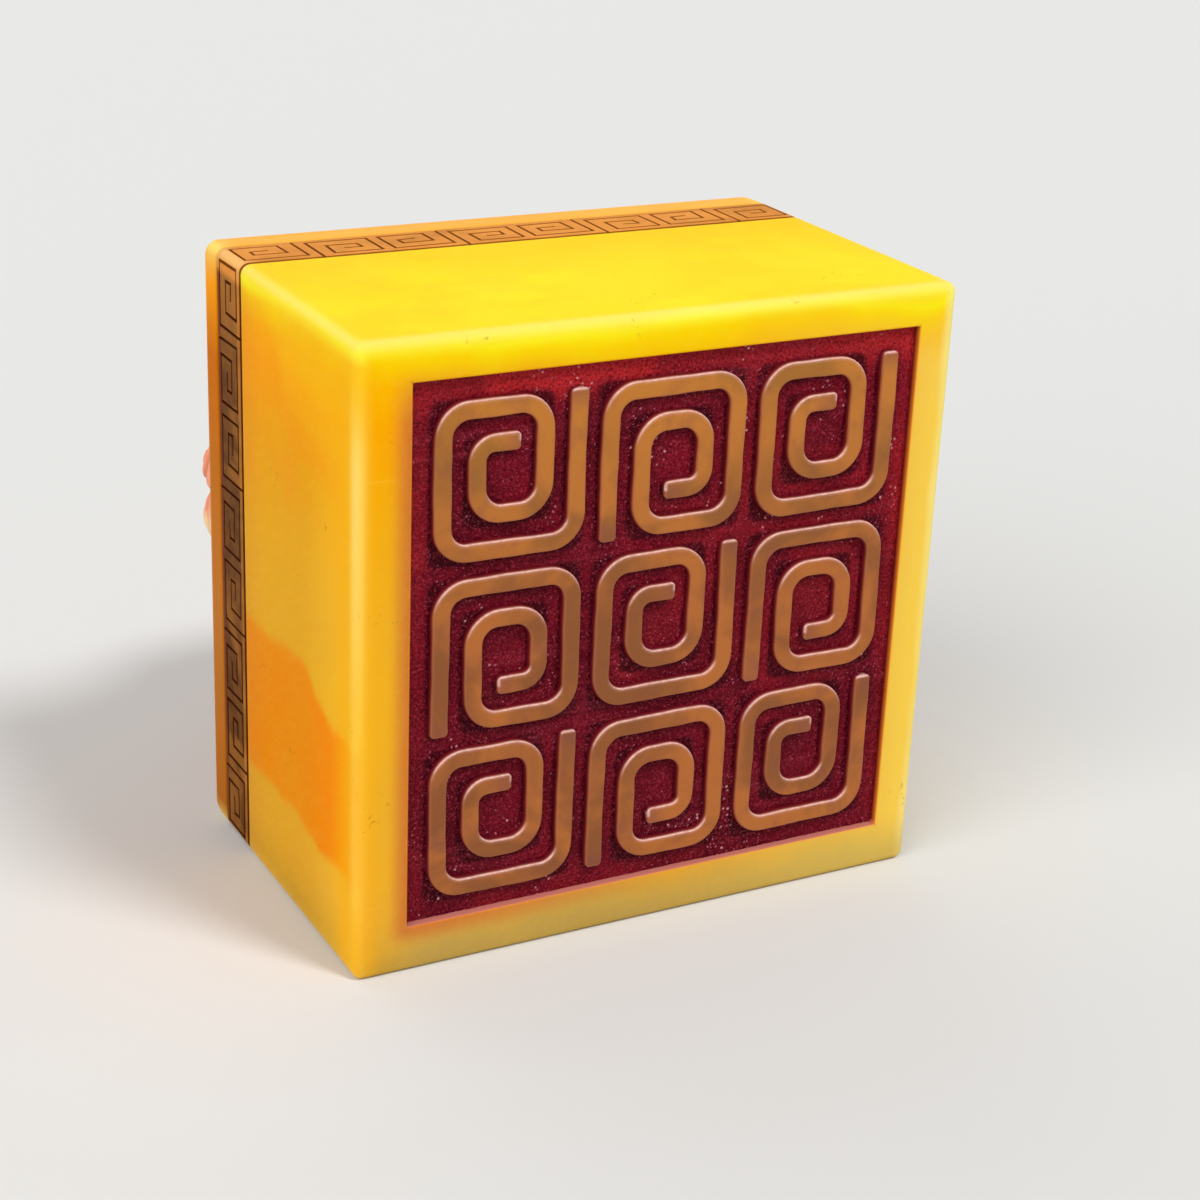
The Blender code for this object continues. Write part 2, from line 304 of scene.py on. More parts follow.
def rectangle_ring(left, right, bottom, top, radius):
    """Points round a rectangle with rounded corners, alike in number for every rectangle.

    Each corner is a quarter circle, and each side is parted evenly between two corners.
    """
    quarter = np.linspace(0, np.pi / 2, CORNER_PARTS + 1)
    centres = [(right, top, -1, -1), (left, top, 1, -1), (left, bottom, 1, 1), (right, bottom, -1, 1)]
    corners = []
    for turn, (x, z, way_x, way_z) in enumerate(centres):
        angle = quarter + turn * np.pi / 2
        middle = np.array([x + way_x * radius, z + way_z * radius])
        corners.append(middle + radius * np.stack([np.cos(angle), np.sin(angle)], axis=1))
    ring = []
    part = np.linspace(0, 1, SIDE_PARTS + 1)[1:-1, None]
    for turn in range(4):
        start, end = corners[turn][-1], corners[(turn + 1) % 4][0]
        ring += [corners[turn], start + (end - start) * part]
    return np.concatenate(ring)


def slab_ring(inset, corner):
    """Ring of the stone's cross-section, drawn in by an inset, with its own corner radius."""
    across, up = HALF_X - inset, HALF_Z - inset
    return rectangle_ring(-across, across, MIDDLE_Z - up, MIDDLE_Z + up, corner)


def panel_ring(growth):
    """Ring of the sunken panel's edge, grown outwards by a distance."""
    return rectangle_ring(
        PANEL_LEFT - growth, PANEL_RIGHT + growth, PANEL_BOTTOM - growth, PANEL_TOP + growth,
        PANEL_CORNER_RADIUS + growth,
    )


def at_depth(ring, y):
    """Flat ring of X and Z placed at one depth."""
    return np.stack([ring[:, 0], np.full(len(ring), y), ring[:, 1]], axis=1)


def slab_rings(front, rear, front_radius, rear_radius, rear_corner, steps):
    """Rings from a slab's front face over its sides to its rear face, round at both ends."""
    turns = np.linspace(0, np.pi / 2, EDGE_ROWS)
    rows = [(front_radius * (1 - np.sin(t)), front + front_radius * (1 - np.cos(t))) for t in turns]
    sides = np.linspace(front + front_radius, rear - rear_radius, steps)[1:-1]
    rows += [(0.0, y) for y in sides]
    rows += [(rear_radius * (1 - np.cos(t)), rear - rear_radius * (1 - np.sin(t))) for t in turns]
    rows = np.array(rows)
    share = (rows[:, 1] - front) / (rear - front)
    corner = LONG_EDGE_RADIUS + (rear_corner - LONG_EDGE_RADIUS) * share ** 3
    corner = np.maximum(corner - rows[:, 0], 0.35 * corner)
    return [at_depth(slab_ring(inset, radius), y) for (inset, y), radius in zip(rows, corner)]


def edge_nearness(points, reach=2.2 * MM):
    """One on the four long edges of the stone and nothing further from them than the reach."""
    from_x = HALF_X - np.abs(points[..., 0])
    from_z = HALF_Z - np.abs(points[..., 2] - MIDDLE_Z)
    second = np.maximum(from_x, from_z)
    return 1 - smooth_step(second, 0.3 * MM, reach)


def make_seal_block():
    """Block with its border and sunken panel, as one skin from the panel's floor to the rear.

    The ring runs from the panel's rectangle, up its leaning wall, over the border, round the
    outer edge and back along the sides.
    """
    rings = [at_depth(panel_ring(-PANEL_LEAN), GROUND_Y + PANEL_FLOOR)]
    wall_height = FACE_Y + PANEL_RIM - GROUND_Y
    for share in np.linspace(0, 1, RIM_ROWS):
        rings.append(at_depth(panel_ring(-PANEL_LEAN * (1 - share)), GROUND_Y + wall_height * share))
    for turn in np.linspace(0, np.pi / 2, RIM_ROWS)[1:]:
        grown = panel_ring(PANEL_RIM * (1 - np.cos(turn)))
        rings.append(at_depth(grown, FACE_Y + PANEL_RIM * (1 - np.sin(turn))))
    inner = panel_ring(PANEL_RIM)
    outer = slab_ring(FACE_EDGE_RADIUS, LONG_EDGE_RADIUS * 0.5)
    for share in np.linspace(0, 1, BORDER_ROWS)[1:-1]:
        rings.append(at_depth(inner + (outer - inner) * share, FACE_Y))
    rear = BLOCK_HIGH[1] + JOINT_REACH
    rings += slab_rings(FACE_Y, rear, FACE_EDGE_RADIUS, JOINT_EDGE_RADIUS, LONG_EDGE_RADIUS, BLOCK_SIDE_ROWS)
    rings.append(at_depth(slab_ring(END_FACE_INSET, LONG_EDGE_RADIUS * END_CORNER_SHARE), rear))
    rings = np.array(rings)
    x, y, z = np.moveaxis(rings, -1, 0)
    # The edge value masks the painted highlights along the front edges and the four long edges.
    front = 1 - smooth_step(y - FACE_Y, 0.5 * MM, 3.0 * MM)
    out_x = HALF_X - np.abs(x)
    below_top = MIDDLE_Z + HALF_Z - z
    above_foot = z - (MIDDLE_Z - HALF_Z)
    off_corner = smooth_step(np.minimum(below_top, above_foot), 2.0 * MM, 15.0 * MM)
    clear = smooth_step(out_x, 0.1 * MM, 2.4 * MM)
    clear = 1 - (1 - clear) * (0.30 + 0.70 * off_corner)
    clear = clear * smooth_step(below_top, 0.1 * MM, 2.5 * MM)
    clear = clear * (0.4 + 0.6 * smooth_step(above_foot, 0.1 * MM, 1.2 * MM))
    edge = np.maximum(front * (1 - clear), edge_nearness(rings))
    beside = np.maximum(PANEL_LEFT - x, x - PANEL_RIGHT)
    beyond = np.maximum(PANEL_BOTTOM - z, z - PANEL_TOP)
    past_corner = (beside > 0) & (beyond > 0)
    from_panel = np.where(past_corner, np.hypot(beside, beyond), np.maximum(beside, beyond))
    on_front = y < GROUND_Y + 1.5 * MM
    stain = np.where(on_front, 1 - smooth_step(from_panel, -0.02 * MM, 0.16 * MM), 0)
    blush = np.where(on_front, 1 - smooth_step(from_panel, 0.0, 3.2 * MM), 0)
    return tube_piece("seal_block_skin", rings, {"edge": edge, "stain": stain, "blush": blush})


def make_slab(name, low, high, front_radius, rear_radius, rear_corner):
    """Plain slab of the stone's cross-section, with its edges rounded."""
    front, rear = low[1] - JOINT_REACH, high[1]
    rings = [at_depth(slab_ring(END_FACE_INSET, LONG_EDGE_RADIUS * END_CORNER_SHARE), front)]
    rings += slab_rings(front, rear, front_radius, rear_radius, rear_corner, SLAB_SIDE_ROWS)
    rings.append(at_depth(slab_ring(rear_radius + END_FACE_INSET, rear_corner * END_CORNER_SHARE), rear))
    rings = np.array(rings)
    # The edge value masks the painted highlights along the long edges.
    return tube_piece(name, rings, {"edge": edge_nearness(rings)})


# Raised coils

def turned_path(corners, largest_radius):
    """Dense points and left-hand normals along straight runs joined by quarter circles."""
    corners = np.asarray(corners, float)
    runs = np.diff(corners, axis=0)
    lengths = np.linalg.norm(runs, axis=1)
    ways = runs / lengths[:, None]
    lefts = np.stack([-ways[:, 1], ways[:, 0]], axis=1)
    points, normals = [corners[:1]], [lefts[:1]]
    turns = np.linspace(0, np.pi / 2, RIB_TURN_POINTS)[:, None]
    for k in range(1, len(corners) - 1):
        radius = min(largest_radius, 0.49 * min(lengths[k - 1], lengths[k]))
        side = -np.sign(ways[k - 1] @ lefts[k])
        centre = corners[k] + (lefts[k - 1] * side - ways[k - 1]) * radius
        normal = lefts[k - 1] * np.cos(turns) - ways[k - 1] * np.sin(turns) * side
        points.append(centre - normal * radius * side)
        normals.append(normal)
    points.append(corners[-1:])
    normals.append(lefts[-1:])
    return np.concatenate(points), np.concatenate(normals)


def rib_section():
    """Half-width, height and nearness to the rim of the points across a rib's section.

    The walls lean outwards to the ground, a quarter circle rounds each rim, and the top is flat.
    """
    height = PANEL_DEPTH
    half = RIB_WIDTH / 2
    turns = np.linspace(0, np.pi / 2, RIM_ROWS)
    across = [half + RIB_DRAFT, half + 0.6 * RIB_DRAFT, half + 0.25 * RIB_DRAFT]
    rise = [-RIB_ROOT, 0.25 * height, 0.55 * height]
    across += (half - RIB_RIM_RADIUS * (1 - np.cos(turns))).tolist()
    rise += (height - RIB_RIM_RADIUS * (1 - np.sin(turns))).tolist()
    across += [0.55 * half, 0.2 * half]
    rise += [height, height]
    rim = [0, 0, 0.1, 0.6, 1, 1, 0.7, 0.2, 0, 0]
    across, rise, rim = np.array(across), np.array(rise), np.array(rim)
    return (
        np.concatenate([-across, across[::-1]]),
        np.concatenate([rise, rise[::-1]]),
        np.concatenate([rim, rim[::-1]]),
    )


def make_rib(name, corners, random):
    """Rib carved along a path: the section swept along it, drawn together at both rounded ends.

    Near an end the half-width follows a quarter circle in plan, and the height follows the
    rim's quarter circle. Slow waves along the path keep the sides from being ruled lines.
    """
    path, normals = turned_path(corners, RIB_TURN_RADIUS)
    half = RIB_WIDTH / 2
    head = path[-1] + (path[-1] - path[-2]) / np.linalg.norm(path[-1] - path[-2]) * half
    foot = path[0] + (path[0] - path[1]) / np.linalg.norm(path[0] - path[1]) * half
    path = np.vstack([foot, path, head])
    normals = np.vstack([normals[:1], normals, normals[-1:]])
    run = np.concatenate([[0], np.cumsum(np.linalg.norm(np.diff(path, axis=0), axis=1))])
    tip = RIB_END_RADIUS * (1 - np.cos(np.linspace(0, np.pi / 2, EDGE_ROWS))) ** 1.3
    between = np.arange(tip[-1] + 0.4 * MM, run[-1] - tip[-1] - 0.2 * MM, RIB_STEP)
    rows = np.concatenate([tip, between, run[-1] - tip[::-1]])
    place = np.stack([np.interp(rows, run, path[:, k]) for k in (0, 1)], axis=1)
    normal = np.stack([np.interp(rows, run, normals[:, k]) for k in (0, 1)], axis=1)
    normal /= np.linalg.norm(normal, axis=1)[:, None]
    across, rise, rim = rib_section()
    from_tip = np.minimum(rows, run[-1] - rows)
    plan = np.clip(RIB_END_RADIUS - from_tip, 0, None)
    width = (half - RIB_END_RADIUS + np.sqrt(RIB_END_RADIUS ** 2 - plan ** 2)) / half
    edge = np.clip(RIB_RIM_RADIUS - from_tip, 0, None)
    limit = PANEL_DEPTH - RIB_RIM_RADIUS + np.sqrt(RIB_RIM_RADIUS ** 2 - edge ** 2)
    wave = random.uniform(0, TAU, 4)
    swell = 0.022 * np.sin(rows / (2.1 * MM) + wave[0]) + 0.016 * np.sin(rows / (0.8 * MM) + wave[1])
    width = width * (1 + swell)
    sway = 0.05 * MM * np.sin(rows / (3.7 * MM) + wave[2])
    side = across[None, :] * width[:, None]
    nick = value_noise(random, (len(rows), len(across)), (int(run[-1] / (0.9 * MM)), 5))
    height = np.minimum(rise[None, :], limit[:, None])
    height = height - rim[None, :] * 0.05 * MM * np.clip(nick, 0, 1) ** 2
    flat = place[:, None, :] + normal[:, None, :] * (side + sway[:, None])[..., None]
    rings = np.stack([flat[..., 0], GROUND_Y - height, flat[..., 1]], axis=2)
    on_top = smooth_step(height, 0.45 * PANEL_DEPTH, 0.86 * PANEL_DEPTH)
    near_end = 1 - smooth_step(from_tip, 0, 0.5 * MM)
    rim_value = np.maximum(np.broadcast_to(rim[None, :], height.shape), near_end[:, None] * on_top)
    # The lit value marks the rims and ends that face upwards, for a painted highlight.
    way = np.gradient(place[:, 1]) / (np.linalg.norm(np.gradient(place, axis=0), axis=1) + 1e-12)
    tipward = np.where(rows < run[-1] / 2, -way, way)
    facing = np.sign(across)[None, :] * normal[:, 1][:, None]
    facing = np.maximum(facing, (near_end * tipward)[:, None])
    lit = rim_value * smooth_step(facing, 0.1, 0.8)
    tail = np.broadcast_to((1 - smooth_step(from_tip, 0.2 * MM, 3.4 * MM))[:, None], height.shape)
    return tube_piece(name, rings, {"top": on_top, "rim": rim_value, "lit": lit, "tail": tail}, sharp=50)


def coil_corners():
    """Square corners of each coil's middle line, each second coil turned half round."""
    lines = LINES_PER_COIL * COILS - 1
    across = (PANEL_RIGHT - PANEL_LEFT - 2 * RIB_BORDER - RIB_WIDTH) / lines
    up = (PANEL_TOP - PANEL_BOTTOM - 2 * RIB_BORDER - RIB_WIDTH) / lines
    left = PANEL_LEFT + RIB_BORDER + RIB_WIDTH / 2
    bottom = PANEL_BOTTOM + RIB_BORDER + RIB_WIDTH / 2
    grid = np.array([(4, 4), (4, 0), (0, 0), (0, 4), (3, 4), (3, 1), (1, 1), (1, 3), (2, 3)])
    coils = []
    for row in range(COILS):
        for column in range(COILS):
            cells = 4 - grid if (row + column) % 2 else grid
            cells = cells + np.array([column, row]) * LINES_PER_COIL
            coils.append(np.array([left, bottom]) + cells * np.array([across, up]))
    return coils


# Paste on the sunken ground

def from_ribs(across, up):
    """Distance from points of the ground to the nearest rib's side."""
    points = np.stack([across, up], axis=-1)
    nearest = np.full(across.shape, 1.0)
    for corners in coil_corners():
        for start, end in zip(corners[:-1], corners[1:]):
            run = end - start
            share = np.clip((points - start) @ run / (run @ run), 0, 1)
            nearest = np.minimum(nearest, np.linalg.norm(points - start - share[..., None] * run, axis=-1))
    return nearest - RIB_WIDTH / 2


def make_paste():
    """Sheet over the panel's floor, roughened by grains, lumps and shallow level tool marks."""
    shape = (PASTE_ROWS, PASTE_COLUMNS)
    random = np.random.RandomState(PASTE_SEED)

    def field(*cells):
        return value_noise(random, shape, cells)

    x = np.linspace(PANEL_LEFT, PANEL_RIGHT, PASTE_COLUMNS)
    z = np.linspace(PANEL_BOTTOM, PANEL_TOP, PASTE_ROWS)
    across, up = np.meshgrid(x, z)
    grain = random.uniform(-1, 1, shape)
    lumps, swell = field(120, 120), field(14, 14)
    strokes = field(110, 5) * smooth_step(field(9, 3), -0.1, 0.6)
    rough = 0.030 * grain + 0.045 * lumps + 0.05 * swell + 0.055 * strokes
    points = np.stack([across, GROUND_Y - PASTE_HEIGHT - rough * MM, up], axis=2)
    # Painted glow, as of light through the stone: the glow value is high near the top, the two sides and the
    # upper right corner, and in patches.
    top = 1 - smooth_step(PANEL_TOP - up, 0.5 * MM, 7.0 * MM)
    right = 1 - smooth_step(PANEL_RIGHT - across, 0.3 * MM, 2.6 * MM)
    left = 1 - smooth_step(across - PANEL_LEFT, 0.3 * MM, 3.0 * MM)
    patches = smooth_step(field(7, 7) + 0.5 * field(19, 19), 0.10, 0.85)
    corner = top * smooth_step(across, 14 * MM, 30 * MM)
    beside = 0.30 * right + 0.55 * left * (0.4 + 0.6 * patches)
    glow = np.clip(top * (0.50 + 0.60 * patches) + 0.5 * corner + beside + 0.3 * patches, 0, 1)
    quads = grid_quads(*shape, False)
    drawn = smooth_step(strokes, 0.12, 0.6)
    # Painted shadow below the ribs: distances are taken from points shifted up and to the right, so the foot
    # value darkens the ground below and left of each rib.
    below = from_ribs(across + 0.10 * MM, up + 0.28 * MM)
    foot = 1 - smooth_step(below, 0.0 * MM, 0.65 * MM)
    values = {"glow": glow, "foot": foot, "drawn": drawn}
    return mesh_piece("paste_ground", points.reshape(-1, 3), quads, (), values, sharp=80)


# Fret band

def fret_corners(turned, random):
    """Square corners of one engraved fret, each a little off its ruled place, as cut by hand."""
    length, height, step = FRET_LENGTH, FRET_HEIGHT, FRET_STEP
    line = np.array([
        (length, height + FRET_TAIL), (length, 0), (0, 0), (0, height), (length - step, height),
        (length - step, step), (step, step), (step, height - step), (length - 2 * step, height - step),
    ])
    line = line + random.uniform(-FRET_SLIP, FRET_SLIP, line.shape)
    return np.array([length, height]) - line if turned else line


def groove_rings(line, width):
    """Rings of a V-shaped cutter along a line of corners, with mitred turns and drawn-out ends.

    Each ring holds the cutter's left lip, its narrow bottom's two sides and its right lip.
    """
    runs = np.diff(line, axis=0)
    ways = runs / np.linalg.norm(runs, axis=1)[:, None]
    lefts = np.stack([-ways[:, 1], ways[:, 0]], axis=1)
    turned = lefts[:-1] + lefts[1:]
    turned = turned * (2 / np.sum(turned * turned, axis=1))[:, None]
    shifts = np.vstack([lefts[:1], turned, lefts[-1:]])
    ends = np.zeros_like(line)
    ends[0], ends[-1] = -ways[0], ways[-1]
    lip, foot = width * 0.5, width * FRET_BOTTOM_SHARE
    spread = lip + (lip - foot) * CUTTER_REACH / FRET_LINE_DEPTH
    right = [(spread, CUTTER_REACH), (foot, -FRET_LINE_DEPTH)]
    corners = right + [(-side, level) for side, level in right[::-1]]
    return np.stack([
        np.column_stack([line + shifts * side + ends * abs(side), np.full(len(line), level)])
        for side, level in corners
    ], axis=1)


def make_fret_cutter():
    """Every engraved line of the band's four sides, as one cutter."""
    random = np.random.RandomState(FRET_SEED)
    middle = np.array([0.0, (BAND_LOW[1] + BAND_HIGH[1]) / 2, MIDDLE_Z])
    rear = np.array([0.0, 1.0, 0.0])
    points, quads, caps = [], [], []
    base = 0
    for outward in np.array([(0, 0, 1), (-1, 0, 0), (0, 0, -1), (1, 0, 0)], float):
        along = np.cross(-outward, rear)
        length = 2 * (abs(along[0]) * HALF_X + abs(along[2]) * HALF_Z)
        reach = abs(outward[0]) * HALF_X + abs(outward[2]) * HALF_Z
        pitch = (length - 2 * FRET_END_MARGIN - FRET_LENGTH) / (FRETS_PER_SIDE - 1)
        for number in range(FRETS_PER_SIDE):
            start = -length / 2 + FRET_END_MARGIN + number * pitch
            width = FRET_LINE_WIDTH * random.uniform(*FRET_LINE_VARIES)
            rings = groove_rings(fret_corners(number % 2, random), width)
            s, t, level = rings[..., 0] + start, rings[..., 1] - FRET_HEIGHT / 2, rings[..., 2] + reach
            placed = middle + s[..., None] * along + t[..., None] * rear + level[..., None] * outward
            flat, faces, ends = closed_tube(placed)
            points.append(flat)
            quads.append(faces + base)
            caps += [end + base for end in ends]
            base += len(flat)
    return mesh_piece("fret_cutter", np.concatenate(points), np.concatenate(quads), caps)


def make_fret_band():
    """Band slab with its frets cut in, and the cutter taken away again."""
    high = BAND_HIGH + np.array([0, JOINT_REACH, 0])
    band = make_slab("fret_band_skin", BAND_LOW, high, JOINT_EDGE_RADIUS, JOINT_EDGE_RADIUS, LONG_EDGE_RADIUS)
    cutter = make_fret_cutter()
    step = band.modifiers.new("frets", "BOOLEAN")
    step.operation = "DIFFERENCE"
    step.solver = "EXACT"
    step.object = cutter
    done = bpy.data.meshes.new_from_object(band.evaluated_get(bpy.context.evaluated_depsgraph_get()))
    band.modifiers.clear()
    band.data = done
    done.shade_smooth()
    done.set_sharp_from_angle(angle=np.radians(28))
    bpy.data.objects.remove(cutter)
    return band


# Cloud knob

KNOB_AROUND = 480
TIER_ROWS = 44
TERRACE_ROWS = 14
CROWN_ROWS = 34
DOME_ROWS = 80
KNOB_SEED = 17
TIER_HEIGHT = 15.0 * MM
TIER_BELLY = 9.0 * MM
TIER_BULGE = 5.5 * MM
TIER_TURN = 60
TERRACE_SAG = 0.35 * MM
LOWER_LOBES = 14
LOWER_LOBE_DEPTH = 2.6 * MM
CROWN_LENGTH = 52.0 * MM
CROWN_WIDTH = 29.0 * MM
CROWN_HEIGHT = 10.5 * MM
CROWN_BULGE = 5.0 * MM
CROWN_TURN = 30
CROWN_DOME = 1.5 * MM
UPPER_LOBES = 10
UPPER_LOBE_DEPTH = 1.8 * MM
SCALLOP_ROUNDNESS = 0.6
SCROLL_DEPTH = 0.62 * MM
SCROLL_VARIES = (0.86, 1.12)
CREST_DROP = 0.2 * MM
CREST_REACH = 8.4 * MM
CREST_PITCH = 2.4 * MM
KNOB_GAP = 0.05 * MM

# Rings of scrolls: number of lobes, row of the profile, reach and pitch of a scroll
SCROLLS = (
    (LOWER_LOBES, 27, 4.9 * MM, 1.95 * MM),
    (UPPER_LOBES, 74, 4.6 * MM, 1.85 * MM),
)


def knob_profile():
    """Half-length, half-width, height and lobe depths from the knob's foot to its top.

    The tier's wall is an arc that bellies out, a terrace leads in to the crown's own arc, and a
    low dome closes the top.
    """
    half_x = (KNOB_HIGH[0] - KNOB_LOW[0]) / 2
    half_z = (KNOB_HIGH[2] - KNOB_LOW[2]) / 2
    turn = np.radians(np.linspace(-TIER_TURN, 90, TIER_ROWS))
    below = TIER_BELLY * np.sin(turn) / np.sin(np.radians(TIER_TURN))
    rise = np.where(turn > 0, (TIER_HEIGHT - TIER_BELLY) * np.sin(turn), below)
    inset = TIER_BULGE * (1 - np.cos(turn))
    none, full = np.zeros(TIER_ROWS), np.full(TIER_ROWS, LOWER_LOBE_DEPTH)
    tier = [half_x - inset, half_z - inset, TIER_BELLY + rise, full, none]
    foot = CROWN_BULGE * (1 - np.cos(np.radians(CROWN_TURN)))
    share = np.linspace(0, 1, TERRACE_ROWS + 2)[1:-1]
    terrace = [
        tier[0][-1] + (CROWN_LENGTH / 2 - foot - tier[0][-1]) * share,
        tier[1][-1] + (CROWN_WIDTH / 2 - foot - tier[1][-1]) * share,
        TIER_HEIGHT - TERRACE_SAG * np.sin(np.pi * share),
        LOWER_LOBE_DEPTH * (1 - share) ** 1.5,
        UPPER_LOBE_DEPTH * share ** 1.5,
    ]
    turn = np.radians(np.linspace(-CROWN_TURN, 90, CROWN_ROWS))
    inset = CROWN_BULGE * (1 - np.cos(turn))
    level = TIER_HEIGHT + CROWN_HEIGHT * (np.sin(turn) + 0.5) / 1.5
    none, full = np.zeros(CROWN_ROWS), np.full(CROWN_ROWS, UPPER_LOBE_DEPTH)
    crown = [CROWN_LENGTH / 2 - inset, CROWN_WIDTH / 2 - inset, level, none, full]
    share = np.linspace(0, 1, DOME_ROWS + 1)[1:]
    dome = [
        crown[0][-1] * (1 - 0.995 * share),
        crown[1][-1] * (1 - 0.995 * share),
        crown[2][-1] + CROWN_DOME * (1 - (1 - share) ** 2),
        np.zeros(DOME_ROWS),
        UPPER_LOBE_DEPTH * (1 - share) ** 3,
    ]
    return [np.concatenate(part) for part in zip(tier, terrace, crown, dome)]


def scroll_cut(across, along, reach, pitch, hand):
    """Depth from 0 to 1 of a scroll groove round a point, with a raised eye in its middle.

    The groove is the line where the distance over the pitch less the angle over a full turn is
    a whole number, and it fades out at its reach.
    """
    distance = np.hypot(across, along)
    turn = hand * np.arctan2(along, across) / TAU
    phase = distance / pitch - turn
    off_line = np.abs(phase - np.round(phase)) * pitch
    groove = np.exp(-((off_line / (0.22 * pitch)) ** 2))
    within = 1 - smooth_step(distance, 0.82 * reach, reach)
    eye = smooth_step(distance, 0.25 * pitch, 0.6 * pitch)
    return groove * within * eye


def make_knob():
    """Cloud knob: scalloped ovals from foot to top, with a scroll carved on every lobe.

    Each lobe pair turns its scrolls towards each other, and the cuts go in along the normals.
    """
    half_x, half_z, level, lower, upper = knob_profile()
    angle = np.linspace(0, TAU, KNOB_AROUND, endpoint=False)
    scallop_low, scallop_high = (
        1 - np.abs(np.sin(lobes * angle / 2)) ** SCALLOP_ROUNDNESS for lobes in (LOWER_LOBES, UPPER_LOBES)
    )
    drawn_in = lower[:, None] * scallop_low + upper[:, None] * scallop_high
    x = (half_x[:, None] - drawn_in) * np.cos(angle)
    z = (half_z[:, None] - drawn_in) * np.sin(angle)
    y = np.broadcast_to(level[:, None], x.shape)
    points = np.stack([x, y, z], axis=2)
    around = np.roll(points, -1, axis=1) - np.roll(points, 1, axis=1)
    upward = np.gradient(points, axis=0)
    normal = np.cross(upward, around)
    normal /= np.linalg.norm(normal, axis=2)[..., None] + 1e-12
    climb = np.cumsum(np.linalg.norm(upward, axis=2), axis=0)
    cut = np.zeros(x.shape)
    random = np.random.RandomState(KNOB_SEED)
    for lobes, row, size, coil in SCROLLS:
        width = TAU / lobes
        lobe = np.floor(angle / width)
        own = random.uniform(*SCROLL_VARIES, lobes)[lobe.astype(int)]
        reach, pitch = size * own, coil * own
        offset = angle - (lobe + 0.5) * width
        radius = np.hypot(half_x[row] * np.sin(angle), half_z[row] * np.cos(angle))
        hand = np.where(lobe % 2 == 0, 1.0, -1.0)
        along = climb - climb[row]
        cut = np.maximum(cut, scroll_cut(offset * radius * np.ones_like(x), along, reach, pitch, hand))
    crest = level[:, None] > TIER_HEIGHT + CROWN_HEIGHT - CREST_DROP
    cut = np.maximum(cut, crest * scroll_cut(x, z, CREST_REACH, CREST_PITCH, 1.0))
    points = points - normal * (SCROLL_DEPTH * cut)[..., None]
    points = points + np.array([0, CAP_HIGH[1] + KNOB_GAP, (KNOB_LOW[2] + KNOB_HIGH[2]) / 2])
    valley = lower[:, None] / LOWER_LOBE_DEPTH * scallop_low
    valley = np.clip(valley + upper[:, None] / UPPER_LOBE_DEPTH * scallop_high, 0, 1)
    return tube_piece("cloud_knob_carving", points, {"carved": cut, "valley": valley}, sharp=60)


# Finishes

